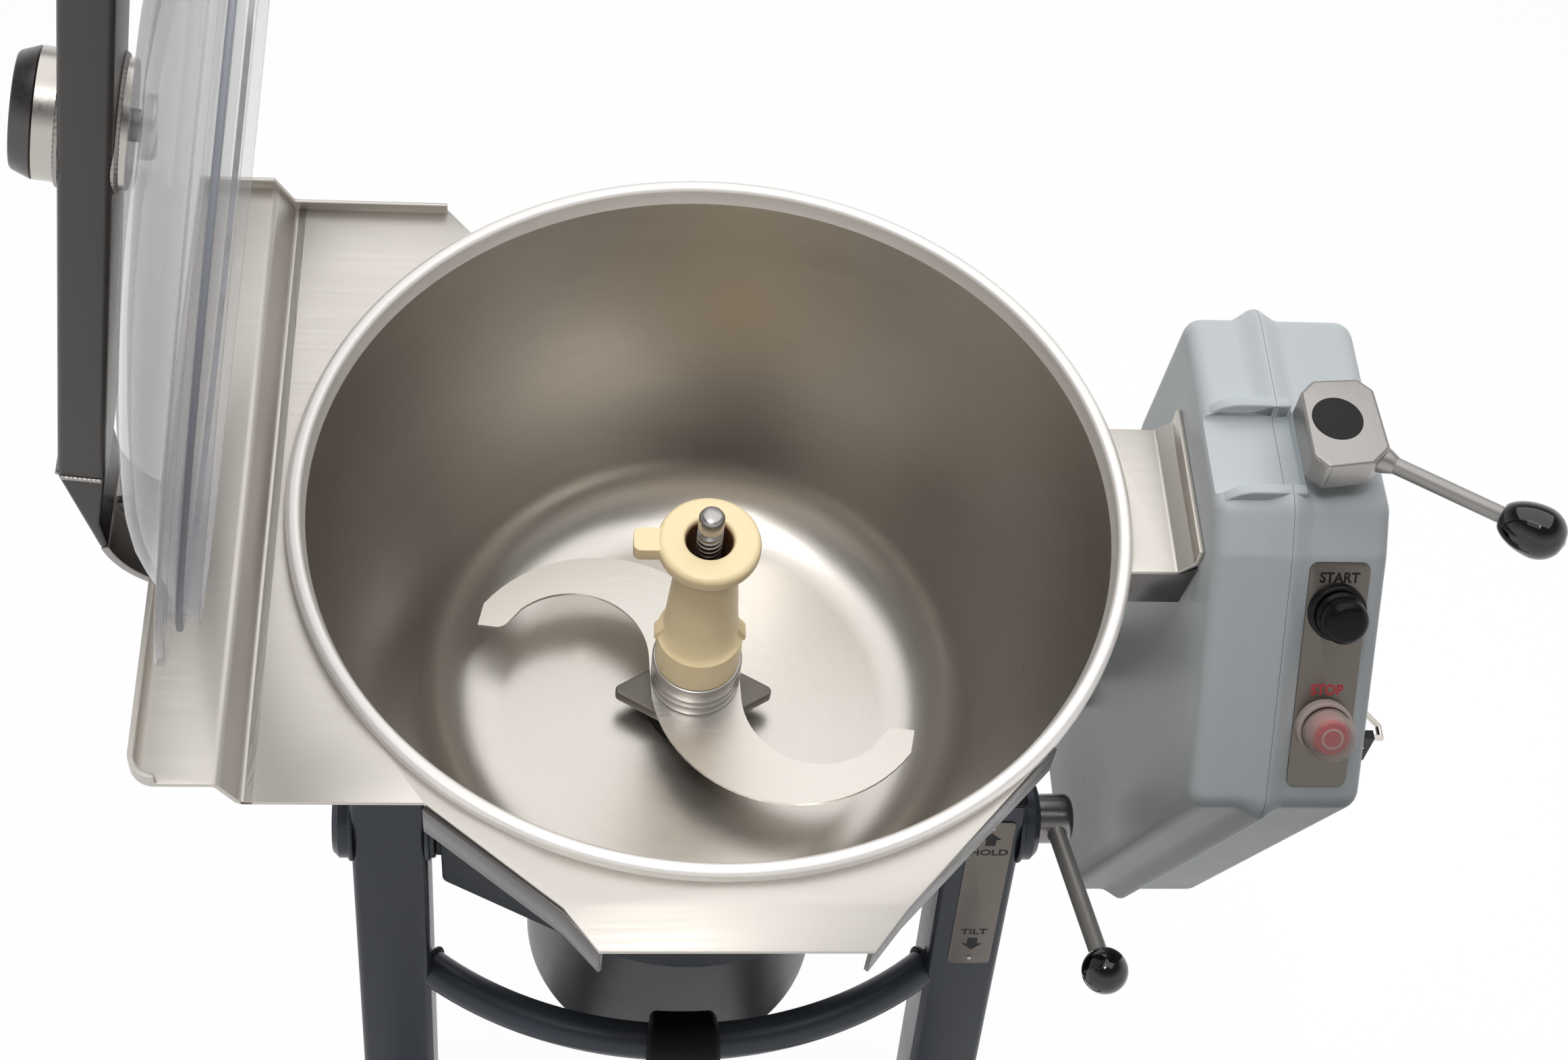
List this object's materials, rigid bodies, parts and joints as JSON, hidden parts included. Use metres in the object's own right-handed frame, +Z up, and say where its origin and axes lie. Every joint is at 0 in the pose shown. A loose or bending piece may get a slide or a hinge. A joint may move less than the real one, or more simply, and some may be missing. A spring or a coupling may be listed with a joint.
{
  "type": "vertical cutter mixer",
  "caption": "Tilting vertical cutter mixer: steel bowl with driven S knife, hinged clear lid on a tube arm, side control housing, and a trunnion stand with a lever tilt clamp.",
  "frame": {"origin": "on the floor at the centre of the four foot bolt holes, midway between the uprights", "axes": "+Z up; +X to the user's right, along the trunnion axis; +Y to the back. The bowl stands tilted 14.3 degrees forward about +X, the lid stands open"},
  "size_m": [0.8362, 0.6052, 1.495],
  "materials": {
    "stand_paint": "glossy blue-grey metallic paint",
    "dark_casting": "dark grey painted casting",
    "motor_paint": "dark grey-green paint",
    "bearing_steel": "machined steel",
    "bushing": "bearing bronze",
    "black_plastic": "matte black",
    "knob_plastic": "polished black",
    "black_rubber": "black rubber",
    "bowl_steel": "circular brushed stainless steel",
    "sheet_steel": "satin stainless sheet",
    "arm_steel": "satin stainless tube",
    "polished_steel": "polished steel",
    "blade_steel": "ground knife steel",
    "drive_steel": "dark cast steel",
    "hub_plastic": "cream moulded plastic",
    "clear_lid": "clear polycarbonate, stated as glass for its look",
    "clear_boot": "clear soft boot, stated as glass for its look",
    "seal_rubber": "pale grey seal",
    "housing_metal": "glossy pale blue-grey enamel on metal",
    "panel_plate": "brushed plate",
    "label_plate": "plate with black lettering",
    "red_plastic": "red",
    "fastener": "zinc plated",
    "lamination": "stacked iron",
    "winding": "laminated iron with copper windings",
    "contactor_plastic": "grey moulded plastic",
    "latch_steel": "cast steel"
  },
  "bodies": {
    "stand": {"left_upright": "stand_paint", "right_upright": "stand_paint", "left_base_rail": "stand_paint", "right_base_rail": "stand_paint", "tube_plugs": "black_plastic", "rear_cross_tube": "stand_paint", "foot_pads": "stand_paint", "brace_bar": "stand_paint", "bumper_sleeve": "black_rubber", "trunnion_bearings": "stand_paint", "trunnion_bushes": "bushing", "lever_label": "label_plate", "label_rivets": "fastener"},
    "clamp_lever": {"clamp_hub": "polished_steel", "clamp_lever_rod": "polished_steel", "clamp_lever_ball": "knob_plastic"},
    "tilting_unit": {"bowl": "bowl_steel", "deck": "sheet_steel", "housing_bracket": "sheet_steel", "hinge_knuckles": "arm_steel", "hinge_pin": "bearing_steel", "shaft_seal": "black_rubber", "yoke": "dark_casting", "housing_arm": "stand_paint", "housing_bolts": "fastener", "motor_shell": "motor_paint", "stator": "winding", "motor_bearings": "bearing_steel", "trunnion_pins": "bearing_steel", "thrust_washers": "black_plastic", "left_housing_shell": "housing_metal", "right_housing_shell": "housing_metal", "seam_screws": "fastener", "switch_plate": "panel_plate", "switch_bodies": "black_plastic", "contactor": "contactor_plastic", "latch_post": "bearing_steel", "catch_base": "black_plastic"},
    "rotor": {"motor_shaft": "bearing_steel", "rotor_core": "lamination", "motor_fan": "black_plastic", "drive_plate": "drive_steel"},
    "knife": {"knife_blade": "blade_steel", "knife_rings": "bearing_steel", "knife_hub": "hub_plastic"},
    "lid_unit": {"lid": "clear_lid", "lid_seal": "seal_rubber", "lid_boss": "polished_steel", "boss_cap": "arm_steel", "lid_bolt": "fastener", "lid_arm": "arm_steel", "hinge_strap": "arm_steel"},
    "latch": {"latch_block": "latch_steel", "latch_disc": "black_plastic", "latch_lever_rod": "polished_steel", "latch_knob": "knob_plastic"},
    "start": {"start_button": "black_rubber"},
    "stop": {"stop_button": "red_plastic", "stop_boot": "clear_boot"},
    "bail": {"wire_bail": "polished_steel"}
  },
  "joints": [
    {"name": "bowl_tilt", "type": "hinge", "parent": "stand", "child": "tilting_unit", "pos_m": [0, 0.08, 0.58], "axis": [1, 0, 0], "range_deg": [-14.3, 74.5]},
    {"name": "clamp_turn", "type": "hinge", "parent": "tilting_unit", "child": "clamp_lever", "pos_m": [0.249, 0.08, 0.58], "axis": [1, 0, 0], "range_deg": [-30, 30]},
    {"name": "lid_hinge", "type": "hinge", "parent": "tilting_unit", "child": "lid_unit", "pos_m": [-0.296, 0.05885, 0.88162], "axis": [0, -0.969, -0.247], "range_deg": [-81.4, 0]},
    {"name": "lid_latch", "type": "hinge", "parent": "tilting_unit", "child": "latch", "pos_m": [0.352, 0.03849, 0.95744], "axis": [0, -0.247, 0.969], "range_deg": [-90, 0]},
    {"name": "knife_spin", "type": "hinge", "parent": "tilting_unit", "child": "rotor", "pos_m": [0, 0.10787, 0.68927], "axis": [0, -0.247, 0.969], "continuous": true},
    {"name": "knife_lift", "type": "slide", "parent": "rotor", "child": "knife", "axis": [0, -0.247, 0.969], "range_m": [0, 0.2]},
    {"name": "start_press", "type": "slide", "parent": "tilting_unit", "child": "start", "axis": [0, 0.9174, -0.3979], "range_m": [0, 0.006], "stiffness_N_per_m": 400, "springref_m": -0.002},
    {"name": "stop_press", "type": "slide", "parent": "tilting_unit", "child": "stop", "axis": [0, 0.9174, -0.3979], "range_m": [0, 0.006], "stiffness_N_per_m": 400, "springref_m": -0.002},
    {"name": "bail_swing", "type": "hinge", "parent": "tilting_unit", "child": "bail", "pos_m": [0.3955, -0.01282, 0.77409], "axis": [0, 0.969, 0.247], "range_deg": [-60, 30]}
  ]
}
